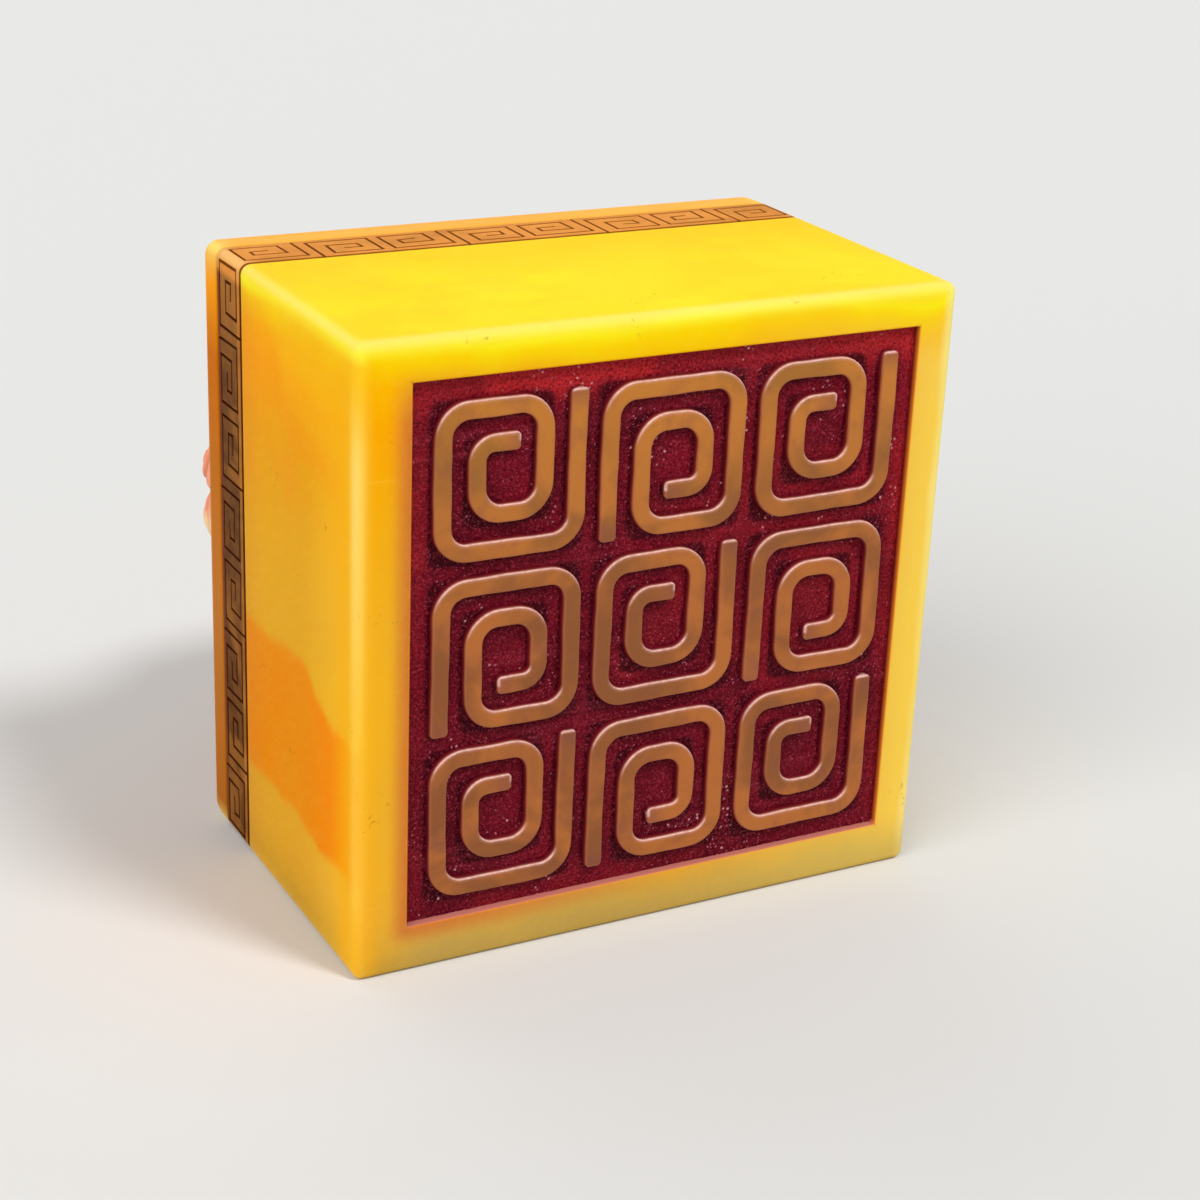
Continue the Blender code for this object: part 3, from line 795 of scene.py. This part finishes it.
class Nodes:
    """Adds nodes to one tree and joins them in the same call."""

    def __init__(self, tree):
        self.tree = tree

    def join(self, node, inputs):
        """Feeds each named input from another node's output, or sets its plain value."""
        for key, value in inputs.items():
            if isinstance(value, bpy.types.NodeSocket):
                self.tree.links.new(value, node.inputs[key])
            else:
                node.inputs[key].default_value = value
        return node

    def add(self, kind, inputs=None, **settings):
        node = self.tree.nodes.new(kind)
        for key, value in settings.items():
            setattr(node, key, value)
        return self.join(node, inputs or {})

    def group(self, name, **inputs):
        return self.join(self.add("ShaderNodeGroup", node_tree=bpy.data.node_groups[name]), inputs).outputs

    @cached_property
    def place(self):
        """Place of the point on the stone."""
        return self.add("ShaderNodeTexCoord").outputs["Object"]

    @cached_property
    def axes(self):
        """X, Y and Z of the point on the stone."""
        return self.add("ShaderNodeSeparateXYZ", {0: self.place}).outputs.values()

    def value(self, name):
        return self.add("ShaderNodeAttribute", attribute_name=name).outputs["Fac"]

    def math(self, operation, a, b=0.0, clamp=False):
        return self.add("ShaderNodeMath", {0: a, 1: b}, operation=operation, use_clamp=clamp).outputs[0]

    def product(self, first, *others):
        for other in others:
            first = self.math("MULTIPLY", first, other)
        return first

    def total(self, first, *others):
        for other in others:
            first = self.math("ADD", first, other)
        return first

    def less(self, value, taken):
        return self.math("SUBTRACT", value, taken)

    def scaled(self, value, gain, base):
        """Base with gain times the value added."""
        return self.total(base, self.product(value, gain))

    def rise(self, value, low, high):
        """Smooth rise from 0 to 1 as the value goes from low to high."""
        node = self.add("ShaderNodeMapRange", {0: value, 1: low, 2: high}, interpolation_type="SMOOTHSTEP")
        return node.outputs[0]

    def fall(self, value, low, high):
        """Smooth fall from 1 to 0 as the value goes from low to high."""
        return self.less(1.0, self.rise(value, low, high))

    def mix(self, factor, a, b):
        """Mix of two colours, each from a node or from the list of colours."""
        a, b = (colour if isinstance(colour, bpy.types.NodeSocket) else linear(colour) for colour in (a, b))
        return self.add("ShaderNodeMix", {0: factor, 6: a, 7: b}, data_type="RGBA").outputs[2]

    def coats(self, colour, *coats):
        """Colour with coats laid on in turn, each a colour and the shares that thin it."""
        for other, *shares in coats:
            colour = self.mix(self.product(*shares), colour, other)
        return colour

    def ramp(self, height, stops):
        """Colour that runs through the stops from the stone's foot to its top."""
        share = self.add("ShaderNodeMapRange", {0: height, 1: 0.0, 2: TOP}).outputs[0]
        node = self.add("ShaderNodeValToRGB", {0: share})
        points = node.color_ramp.elements
        while len(points) < len(stops):
            points.new(0.5)
        for point, (place, _) in zip(points, stops):
            point.position = place / TOP
        for point, (_, colour) in zip(points, stops):
            point.color = linear(colour)
        return node.outputs[0]

    def noise(self, scale, detail=3.0, rough=0.5, warp=0.0, place=None):
        inputs = {"Scale": scale, "Detail": detail, "Roughness": rough, "Distortion": warp}
        return self.add("ShaderNodeTexNoise", {"Vector": place or self.place, **inputs}).outputs[0]

    def drawn_out(self, kind, rotation, scale):
        """Place turned and stretched, so that a noise on it runs in lines."""
        inputs = {"Vector": self.place, "Rotation": rotation, "Scale": scale}
        return self.add("ShaderNodeMapping", inputs, vector_type=kind).outputs[0]

    def cells(self, scale, part, least):
        """Distance inside round cells, and a mask of the rare ones whose random part is large."""
        cells = self.add("ShaderNodeTexVoronoi", {"Vector": self.place, "Scale": scale}).outputs
        chance = self.add("ShaderNodeSeparateColor", {0: cells["Color"]}).outputs[part]
        return cells["Distance"], self.math("GREATER_THAN", chance, least)

    def veil(self, scale, low, high):
        return self.group("clouding", Scale=scale, Low=low, High=high)["Mask"]

    def wander(self):
        """Slow drift of up to 3 mm, which keeps levels of colour from being ruled lines."""
        return self.product(self.less(self.noise(60.0, 2.0), 0.5), 6 * MM)


class Finish(Nodes):
    """Material with a Principled shader whose even values are set on its own sockets."""

    def __init__(self, name, roughness, subsurface=0.0, depth=4 * MM, shine=0.25):
        self.material = bpy.data.materials.new(name)
        self.material.use_nodes = True
        super().__init__(self.material.node_tree)
        self.shader = self.tree.nodes["Principled BSDF"]
        self.join(self.shader, {
            "Roughness": roughness,
            "Subsurface Weight": subsurface,
            "Subsurface Radius": (1.0, 0.55, 0.16),
            "Subsurface Scale": depth,
            "Specular IOR Level": shine,
        })

    def connect(self, colour, height, strength, distance=0.1 * MM, roughness=None):
        """Feeds colour, relief and, where it varies, roughness into the shader."""
        relief = self.add("ShaderNodeBump", {"Strength": strength, "Distance": distance, "Height": height})
        self.join(self.shader, {"Base Color": colour, "Normal": relief.outputs[0]})
        if roughness is not None:
            self.join(self.shader, {"Roughness": roughness})
        return self.material


def effect(name, inputs, outputs):
    """Empty shader node group with named inputs and their first values, and named outputs."""
    tree = bpy.data.node_groups.new(name, "ShaderNodeTree")
    for key, value in inputs.items():
        tree.interface.new_socket(key, in_out="INPUT", socket_type="NodeSocketFloat").default_value = value
    for key in outputs:
        tree.interface.new_socket(key, in_out="OUTPUT", socket_type="NodeSocketFloat")
    nodes = Nodes(tree)
    return nodes, nodes.add("NodeGroupInput").outputs, nodes.add("NodeGroupOutput")


def define_clouding():
    """Soft cloudy veils inside the stone: noise, bent by a slower noise."""
    nodes, given, out = effect("clouding", {"Scale": 60.0, "Low": 0.4, "High": 0.65}, ["Mask"])
    veil = nodes.noise(given["Scale"], 4.0, 0.55, 0.8)
    nodes.join(out, {"Mask": nodes.rise(veil, given["Low"], given["High"])})


def define_vein():
    """Layer of deeper colour between two heights, tilted along Y, with a ragged soft edge."""
    usual = {"Low": 10 * MM, "High": 30 * MM, "Soft": 3 * MM, "Tilt": 0.0, "Ragged": 4 * MM}
    nodes, given, out = effect("vein", usual, ["Mask"])
    _, y, z = nodes.axes
    ragged = nodes.product(nodes.less(nodes.noise(55.0, 4.0), 0.5), given["Ragged"])
    level = nodes.total(z, ragged, nodes.product(y, given["Tilt"]))
    above = nodes.rise(level, given["Low"], nodes.total(given["Low"], given["Soft"]))
    below = nodes.fall(level, nodes.less(given["High"], given["Soft"]), given["High"])
    nodes.join(out, {"Mask": nodes.product(above, below)})


def define_specks():
    """Small dark pits, hairline scratches and faint slanting streaks of a handled, polished stone."""
    nodes, given, out = effect("specks", {"Scale": 300.0}, ["Pits", "Scratches", "Streaks"])
    distance, rare = nodes.cells(given["Scale"], 0, 0.72)
    round_pits = nodes.product(nodes.fall(distance, 0.06, 0.20), rare)
    crowd = nodes.rise(nodes.noise(110.0, 2.0), 0.62, 0.72)
    chips = nodes.rise(nodes.noise(1300.0, 4.0, 0.6, 0.6), 0.60, 0.68)
    across = nodes.drawn_out("POINT", (0.3, 0.5, 0.2), (1.0, 22.0, 9.0))
    slanted = nodes.drawn_out("TEXTURE", (-0.52, 0.0, 0.3), (1.0, 40.0, 1.0))
    nodes.join(out, {
        "Pits": nodes.product(nodes.math("MAXIMUM", round_pits, chips), crowd),
        "Scratches": nodes.rise(nodes.noise(60.0, 2.0, 0.6, place=across), 0.70, 0.76),
        "Streaks": nodes.rise(nodes.noise(1300.0, 2.0, 0.5, place=slanted), 0.40, 0.70),
    })


def define_grain():
    """Granular crust of dried paste: a fine grain height and rare bright grains."""
    nodes, given, out = effect("grain", {"Scale": 2600.0}, ["Height", "Sparkle"])
    distance, rare = nodes.cells(given["Scale"], 1, 0.84)
    fine = nodes.noise(nodes.product(given["Scale"], 0.55), 4.0, 0.65)
    sparkle = nodes.product(nodes.fall(distance, 0.18, 0.42), rare)
    nodes.join(out, {"Height": nodes.scaled(distance, 0.5, fine), "Sparkle": sparkle})


def define_below_sides():
    """How deep a point lies under the stone's four sides, whose corners are round.

    It is the distance of the point's X and Z to the rounded square of the cross-section.
    """
    nodes, given, out = effect("below_sides", {"Radius": LONG_EDGE_RADIUS}, ["Depth"])
    x, _, z = nodes.axes
    over_x = nodes.less(nodes.math("ABSOLUTE", x), nodes.less(HALF_X, given["Radius"]))
    over_z = nodes.less(nodes.math("ABSOLUTE", nodes.less(z, MIDDLE_Z)), nodes.less(HALF_Z, given["Radius"]))
    out_x, out_z = nodes.math("MAXIMUM", over_x, 0.0), nodes.math("MAXIMUM", over_z, 0.0)
    square = nodes.total(nodes.product(out_x, out_x), nodes.product(out_z, out_z))
    inside = nodes.math("MINIMUM", nodes.math("MAXIMUM", over_x, over_z), 0.0)
    distance = nodes.total(nodes.math("SQRT", square), inside)
    nodes.join(out, {"Depth": nodes.less(given["Radius"], distance)})


def yellow_stone():
    """Waxed, softly translucent yellow stone: lemon on top, amber below, with an orange vein."""
    stone = Finish("yellow_stone", 0.34, 0.28, 3.5 * MM, 0.006)
    x, y, z = stone.axes
    depth = stone.less(y, FACE_Y)
    wander = stone.wander()
    level = stone.total(z, wander)
    side = stone.fall(x, -39.9 * MM, -38.7 * MM)
    under_edge = stone.fall(z, 76.8 * MM, 78.6 * MM)
    beside_edge = stone.product(stone.fall(x, -38.8 * MM, -36.4 * MM), 0.36)
    near_panel = stone.value("blush")
    edge = stone.value("edge")
    vein = stone.group("vein", Low=14.1 * MM, High=37.2 * MM, Soft=2.4 * MM, Tilt=-0.105, Ragged=14 * MM)
    marks = stone.group("specks", Scale=900.0)
    # The panel's wall: red with paste, painted pinker at the bottom as lit from above, and orange at the
    # right wall's lip.
    wall = stone.coats(
        stone.mix(stone.fall(z, PANEL_BOTTOM + 0.2 * MM, PANEL_BOTTOM + 0.6 * MM), WALL_RED, LIT_WALL_PINK),
        (WALL_ORANGE, stone.rise(x, PANEL_RIGHT - 0.4 * MM, PANEL_RIGHT - 0.2 * MM),
         stone.fall(depth, 0.1 * MM, 0.9 * MM), 0.8),
    )
    colour = stone.coats(
        # Body, with its right side painted paler as lit from the right, and a painted highlight along its
        # right edge
        stone.ramp(level, STONE_BY_HEIGHT),
        (GOLD, stone.veil(34.0, 0.40, 0.66), 0.30),
        (STRAW, stone.rise(x, 0.0, 37 * MM), stone.fall(level, 70 * MM, 79 * MM),
         stone.scaled(stone.rise(depth, 4 * MM, 22 * MM), -0.45, 0.85)),
        (CREAM, stone.fall(depth, 0.8 * MM, 6 * MM), 0.80,
         stone.rise(stone.scaled(wander, 0.30, x), 38.0 * MM, 39.9 * MM)),
        # Vein and deeper colour of the left side
        (ORANGE, vein["Mask"], side, stone.scaled(stone.veil(46.0, 0.30, 0.62), 0.20, 0.80)),
        (DEEP_OCHRE, stone.rise(depth, 5 * MM, 18 * MM), side,
         stone.scaled(stone.rise(z, 58 * MM, 74 * MM), -0.34, 0.36)),
        # Shaded foot
        (SHADED_STRAW, stone.fall(level, 1.5 * MM, 9.5 * MM),
         stone.scaled(stone.rise(x, -39 * MM, -30 * MM), 0.56, 0.08)),
        # Glow near the edges
        (ORANGE, stone.veil(24.0, 0.48, 0.60), stone.rise(level, 44 * MM, 62 * MM), side, under_edge, 0.35),
        (MARIGOLD, stone.fall(depth, 2 * MM, 9 * MM), under_edge,
         stone.math("MAXIMUM", stone.product(side, 0.62), beside_edge)),
        (GOLD, stone.rise(z, 78.6 * MM, 79.7 * MM), stone.rise(depth, 14 * MM, 36 * MM), 0.42),
        (RUST, stone.rise(depth, 29 * MM, 36.5 * MM), stone.fall(z, 74 * MM, 79.5 * MM), 0.20),
        # Blush and lip round the panel
        (RUST, near_panel, stone.fall(level, 68 * MM, 79 * MM),
         stone.scaled(stone.fall(x, -34 * MM, 10 * MM), 0.74, 0.12)),
        (ORANGE, stone.rise(near_panel, 0.955, 1.0), 0.3),
        # Painted highlights along the edges
        (stone.ramp(z, EDGE_BY_HEIGHT), edge, 0.42),
        (CREAM, edge, edge, edge, stone.scaled(stone.rise(z, 30 * MM, 60 * MM), 0.24, 0.06)),
        # Marks of use, and the panel's wall, stained red with paste and painted pinker at the bottom as lit
        # from above
        (PIT_BROWN, marks["Pits"], 0.55),
        (PALE_EDGE, marks["Streaks"], 0.035),
        (PALE_EDGE, marks["Scratches"], 0.15),
        (wall, stone.value("stain")),
    )
    relief = stone.scaled(marks["Scratches"], -0.5, stone.noise(420.0, 5.0, 0.6))
    return stone.connect(colour, relief, 0.10, roughness=stone.scaled(stone.noise(160.0, 4.0), 0.16, 0.27))


def rib_stone():
    """Amber-brown stone of the raised lines, brick-red at its rims with a painted rosy highlight on the rims
    that face upwards, and red with paste on its walls.
    """
    stone = Finish("rib_stone", 0.42, 0.10, 1 * MM, 0.12)
    z = stone.axes[2]
    mottle = stone.noise(1700.0, 4.0, 0.7)
    face = stone.coats(
        stone.mix(stone.veil(62.0, 0.38, 0.60), RIB_OCHRE, RIB_AMBER),
        (AMBER, stone.rise(z, 40 * MM, 78 * MM), 0.20),
        (RIB_DUN, stone.rise(stone.noise(260.0, 4.0, 0.6), 0.50, 0.72), 0.36),
        (RIB_DUN, stone.value("tail"), 0.5),
        (RIB_BRICK, stone.value("rim"), stone.scaled(mottle, 0.6, 0.30)),
        # Painted highlight on the rims that face upwards
        (RIB_HIGHLIGHT_ROSE, stone.value("lit"), stone.scaled(mottle, 1.7, -0.05)),
    )
    wall = stone.mix(stone.noise(700.0), MAROON, CRIMSON)
    colour = stone.mix(stone.value("top"), wall, face)
    return stone.connect(colour, stone.group("grain", Scale=3800.0)["Height"], 0.20, 0.05 * MM)


def red_paste():
    """Dried red seal paste: granular crimson, maroon where it is thick and darker towards the bottom, with a
    painted scarlet glow near the panel's edges, a painted shadow below the ribs and painted glints.
    """
    paste = Finish("red_paste", 0.6, shine=0.06)
    z = paste.axes[2]
    thick = paste.veil(95.0, 0.34, 0.66)
    grain = paste.group("grain", Scale=2300.0)
    glint_patches = paste.rise(paste.noise(150.0, 2.0), 0.58, 0.66)
    colour = paste.coats(
        paste.mix(paste.product(thick, 0.75), CRIMSON, MAROON),
        # Painted glow near the panel's edges
        (SCARLET, paste.value("glow"), 0.86),
        (MAROON, paste.fall(z, PANEL_BOTTOM, PANEL_BOTTOM + 60 * MM), 0.4),
        # Painted shadow below the ribs
        (RIB_SHADOW_AND_MOTTLE_DARK, paste.value("foot"), 0.82),
        (PASTE_ROSE, paste.value("drawn"), 0.14),
        (PASTE_ROSE, paste.rise(paste.noise(3600.0, 2.0, 0.7, 0.2), 0.50, 0.66), 0.55),
        (RIB_SHADOW_AND_MOTTLE_DARK, paste.rise(paste.noise(2700.0, 2.0, 0.7, 0.2), 0.47, 0.62), 0.55),
        (PASTE_GRAIN, grain["Sparkle"], paste.scaled(thick, 0.6, 0.25)),
        # Painted glints, gathered in patches
        (GLINT, paste.group("grain", Scale=1700.0)["Sparkle"], glint_patches, 0.75),
    )
    return paste.connect(colour, grain["Height"], 0.8, 0.3 * MM)


def banded_stone():
    """Salmon stone of the band, brown-washed round the frets, with ink in every cut line.

    The brown fills the strip that the frets stand in and is left off the top side, so that it is partly real
    colour and partly painted shade on the sides. Painted highlights lie along the long edges, and the ink is
    lighter on the top side.
    """
    stone = Finish("salmon_stone", 0.46, 0.12, 1.5 * MM, 0.02)
    _, y, z = stone.axes
    not_top = stone.fall(z, TOP - 3.2 * MM, TOP - 2.0 * MM)
    off_middle = stone.math("ABSOLUTE", stone.less(y, (BAND_LOW[1] + BAND_HIGH[1]) / 2))
    strip = stone.fall(off_middle, FRET_HEIGHT / 2 - 0.1 * MM, FRET_HEIGHT / 2 + 0.7 * MM)
    dirt = stone.rise(stone.noise(420.0, 5.0, 0.65), 0.40, 0.66)
    # Brown round the frets: partly real colour and partly painted shade, since the lit top side is left out.
    wash_and_shade = stone.product(not_top, stone.scaled(strip, 0.28, 0.64))
    wash_and_shade = stone.math("ADD", wash_and_shade, stone.product(dirt, 0.10), True)
    paler = stone.scaled(stone.rise(z, 62 * MM, 77 * MM), -0.35, 1.0)
    worn = stone.scaled(stone.veil(44.0, 0.50, 0.60), -0.22, 1.0)
    seam = stone.rise(y, BAND_HIGH[1] - 1.3 * MM, BAND_HIGH[1] - 0.8 * MM)
    cut = stone.rise(stone.group("below_sides", Radius=LONG_EDGE_RADIUS)["Depth"], 0.01 * MM, 0.07 * MM)
    colour = stone.coats(
        stone.mix(stone.product(stone.veil(90.0, 0.35, 0.65), 0.45), SALMON, SALMON_DEEP),
        (TAN, wash_and_shade, paler, worn),
        # Painted highlights along the edges, stronger towards the top
        (PEACH, stone.value("edge"), stone.scaled(stone.rise(z, 45 * MM, 72 * MM), 0.58, 0.12)),
        (TAN, stone.veil(62.0, 0.46, 0.62), stone.less(1.0, not_top), 0.22),
        (SEAM_RED, seam, stone.scaled(not_top, 0.64, 0.10)),
        (stone.mix(not_top, INK_TAN, INK_BROWN), cut, 0.93, stone.scaled(stone.noise(1500.0), 0.35, 0.80)),
    )
    return stone.connect(colour, stone.noise(900.0, 5.0, 0.65), 0.25)


def orange_stone():
    """Waxed orange stone of the cap, pale on top and rusty on its sides, with painted highlights on its edges
    and its rear rim.
    """
    stone = Finish("orange_stone", 0.36, 0.20, 2.5 * MM, 0.008)
    _, y, z = stone.axes
    rear = stone.rise(y, CAP_HIGH[1] - 2.4 * MM, CAP_HIGH[1] - 0.2 * MM)
    streak = stone.group("vein", Low=30 * MM, High=52 * MM, Soft=8 * MM, Tilt=0.0, Ragged=50 * MM)
    colour = stone.coats(
        stone.ramp(stone.total(z, stone.wander()), CAP_BY_HEIGHT),
        # Painted highlights along the edges and at the rear rim
        (CAP_EDGE_HIGHLIGHT, stone.value("edge"), 0.78),
        (CAP_REAR_HIGHLIGHT, rear, 0.62),
        (CAP_RUST, stone.veil(42.0, 0.40, 0.66), stone.scaled(rear, 0.32, 0.14)),
        (KNOB_ROSE, streak["Mask"], rear, 0.30),
    )
    relief = stone.noise(420.0, 5.0, 0.6)
    return stone.connect(colour, relief, 0.12, roughness=stone.scaled(relief, 0.14, 0.30))


def rose_stone():
    """Waxed rosy stone of the knob, darker in its carved lines and valleys."""
    stone = Finish("rose_stone", 0.38, 0.22, 3 * MM, 0.10)
    colour = stone.coats(
        stone.mix(stone.veil(70.0, 0.42, 0.60), KNOB_ROSE, KNOB_BLUSH),
        (CAP_RUST, stone.value("valley"), 0.45),
        (KNOB_CUT, stone.value("carved"), stone.scaled(stone.noise(800.0), 0.3, 0.4)),
    )
    relief = stone.noise(500.0, 5.0, 0.6)
    return stone.connect(colour, relief, 0.12, roughness=stone.scaled(relief, 0.14, 0.32))


def bed_finish(name, brown):
    """Dark resin bed in a joint, dull and a little uneven, and paler where it reaches the top."""
    resin = Finish(name, 0.7, shine=0.2)
    z = resin.axes[2]
    dust = resin.rise(resin.noise(700.0, 4.0), 0.5, 0.75)
    colour = resin.coats(brown, (TAN, dust, 0.35), (BED_TAN, resin.rise(z, 77.0 * MM, 79.2 * MM), 0.75))
    return resin.connect(colour, resin.noise(1800.0, 4.0), 0.3)


# Pieces in their places

def dress(piece, material, slot, *nodes):
    """Gives a new piece its finish, its body and the solids it stands for; the record slot is not used."""
    piece.data.materials.clear()
    piece.data.materials.append(material)
    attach(piece, "root")
    if nodes:
        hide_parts(*nodes)


def give_finish(node, material):
    """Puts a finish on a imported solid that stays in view."""
    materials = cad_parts[node].data.materials
    materials.clear()
    materials.append(material)


def build_stone():
    """Makes every piece, gives it its finish and names the solid that it stands for."""
    for define in (define_clouding, define_vein, define_specks, define_grain, define_below_sides):
        define()
    dress(make_seal_block(), yellow_stone(), "yellow_stone", "seal_block")
    rib_finish = rib_stone()
    random = np.random.RandomState(RIB_SEED)
    for number, corners in enumerate(coil_corners(), 1):
        dress(make_rib(f"coil_rib_{number}", corners, random), rib_finish, "yellow_stone")
    dress(make_paste(), red_paste(), "red_paste", "seal_paste")
    dress(make_fret_band(), banded_stone(), "salmon_stone", "fret_band")
    cap = make_slab("cap_skin", CAP_LOW, CAP_HIGH, JOINT_EDGE_RADIUS, CAP_EDGE_RADIUS, CAP_CORNER_RADIUS)
    dress(cap, orange_stone(), "orange_stone", "cap_slab")
    dress(make_knob(), rose_stone(), "rose_stone", "cloud_knob")
    give_finish("front_bed", bed_finish("dark_bed", FRONT_BED_BROWN))
    give_finish("rear_bed", bed_finish("brown_bed", REAR_BED_BROWN))


# Studio

FLOOR_REACH = 6.0
SKY_STRENGTH = 0.33
SHOWN_SKY = 0.80
SUNS = (
    ("fill_sun", 1.58, 50.0, (0.80, 0.40, -0.60)),
    ("key_sun", 1.50, 14.0, (-0.35, 0.60, -1.00)),
    ("back_sun", 0.42, 60.0, (0.10, -0.80, -0.50)),
)


def make_floor():
    """Wide pale floor under the stone."""
    mesh = bpy.data.meshes.new("floor")
    corners = [(x * FLOOR_REACH, y * FLOOR_REACH, 0) for x, y in ((-1, -1), (1, -1), (1, 1), (-1, 1))]
    mesh.from_pydata(corners, [], [(0, 1, 2, 3)])
    paper = Finish("floor_paper", 0.85)
    paper.join(paper.shader, {"Base Color": linear(FLOOR_GREY)})
    mesh.materials.append(paper.material)
    add_object("floor", mesh)


def make_light():
    """Even pale surroundings, a wide soft light from the left and a firmer one from the upper right."""
    world = bpy.data.worlds.new("studio")
    bpy.context.scene.world = world
    world.use_nodes = True
    background = world.node_tree.nodes["Background"]
    background.inputs["Color"].default_value = (1.0, 1.0, 1.0, 1.0)
    nodes = Nodes(world.node_tree)
    ray = nodes.add("ShaderNodeLightPath").outputs
    through = nodes.math("MAXIMUM", ray["Is Glossy Ray"], ray["Is Transmission Ray"])
    seen = nodes.math("MAXIMUM", ray["Is Camera Ray"], through)
    nodes.join(background, {"Strength": nodes.scaled(seen, SHOWN_SKY - SKY_STRENGTH, SKY_STRENGTH)})
    for name, energy, width, way in SUNS:
        lamp = bpy.data.lights.new(name, "SUN")
        lamp.energy = energy
        lamp.angle = np.radians(width)
        thing = add_object(name, lamp)
        thing.location = -0.6 * Vector(way)
        thing.rotation_euler = Vector(way).to_track_quat("-Z", "Y").to_euler()


# Camera, from the block's corners in the photograph: its place before the seal face, and its axes

CAMERA_BEFORE_FACE = (-0.1383, -0.2369, 0.1550)
CAMERA_FORWARD = (0.44506, 0.81253, -0.37645)
CAMERA_UP = (0.14292, 0.35055, 0.92558)
CAMERA_LENS = 73.10


def make_camera():
    """Camera at the photograph's viewing angle."""
    camera = bpy.data.cameras.new("camera")
    camera.lens = CAMERA_LENS
    camera.sensor_width = 36.0
    camera.clip_start = 0.01
    forward = Vector(CAMERA_FORWARD).normalized()
    right = forward.cross(Vector(CAMERA_UP)).normalized()
    up = right.cross(forward)
    thing = add_object("camera", camera)
    turn = Matrix((right, up, -forward)).transposed().to_4x4()
    place = Vector(CAMERA_BEFORE_FACE) + Vector((0.0, FACE_Y, 0.0))
    thing.matrix_world = Matrix.Translation(place) @ turn
    bpy.context.scene.camera = thing


bpy.context.scene.view_settings.view_transform = "Standard"
make_camera()
make_light()
make_floor()
build_stone()
